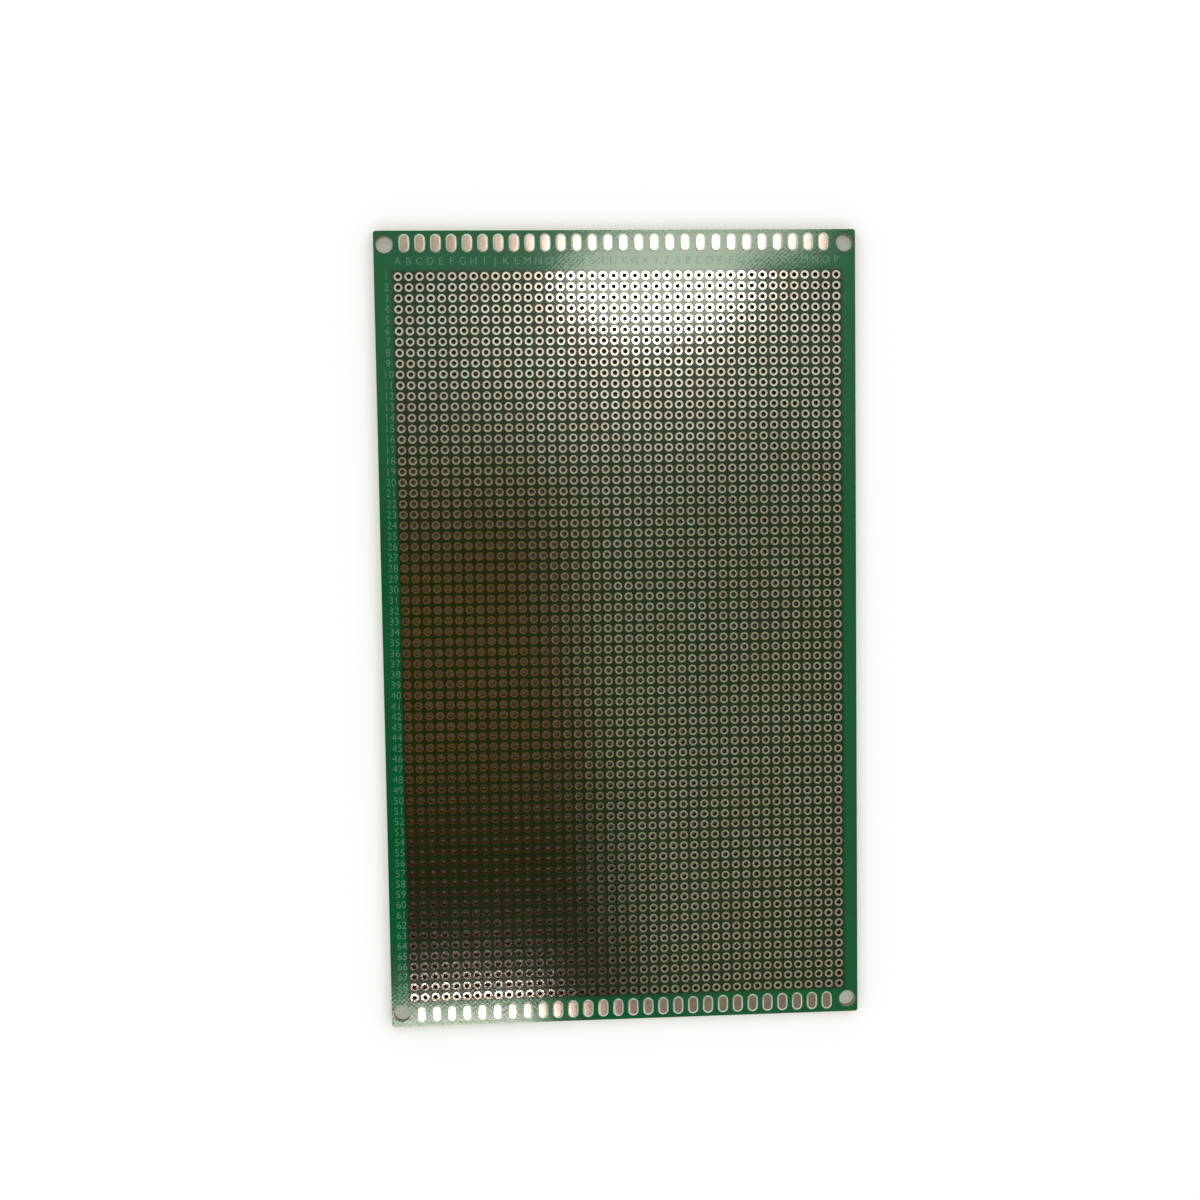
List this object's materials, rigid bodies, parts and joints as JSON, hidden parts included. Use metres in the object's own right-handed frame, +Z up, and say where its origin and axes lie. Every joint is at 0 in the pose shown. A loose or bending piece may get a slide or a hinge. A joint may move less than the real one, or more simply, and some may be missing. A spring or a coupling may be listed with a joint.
{
  "type": "prototype board",
  "caption": "Bare double-sided prototype board: a close grid of plated holes, a row of contacts along each short end and a mounting hole at each corner.",
  "frame": {"origin": "middle of the underside, at the height of the lower green face", "axes": "+X across the board to the right as the letters read, +Y along it towards the lettered end, +Z up out of the lettered face"},
  "size_m": [0.09, 0.15, 0.0016],
  "materials": {
    "green_laminate": "glossy green coat over glass and resin laminate",
    "tinned_ring": "bright tin, satin",
    "tinned_contact": "bright tin, satin"
  },
  "bodies": {
    "root": {"board": "green_laminate", "plated_holes_lettered_half": "tinned_ring", "plated_holes_plain_half": "tinned_ring", "edge_contacts": "tinned_contact"}
  },
  "joints": []
}
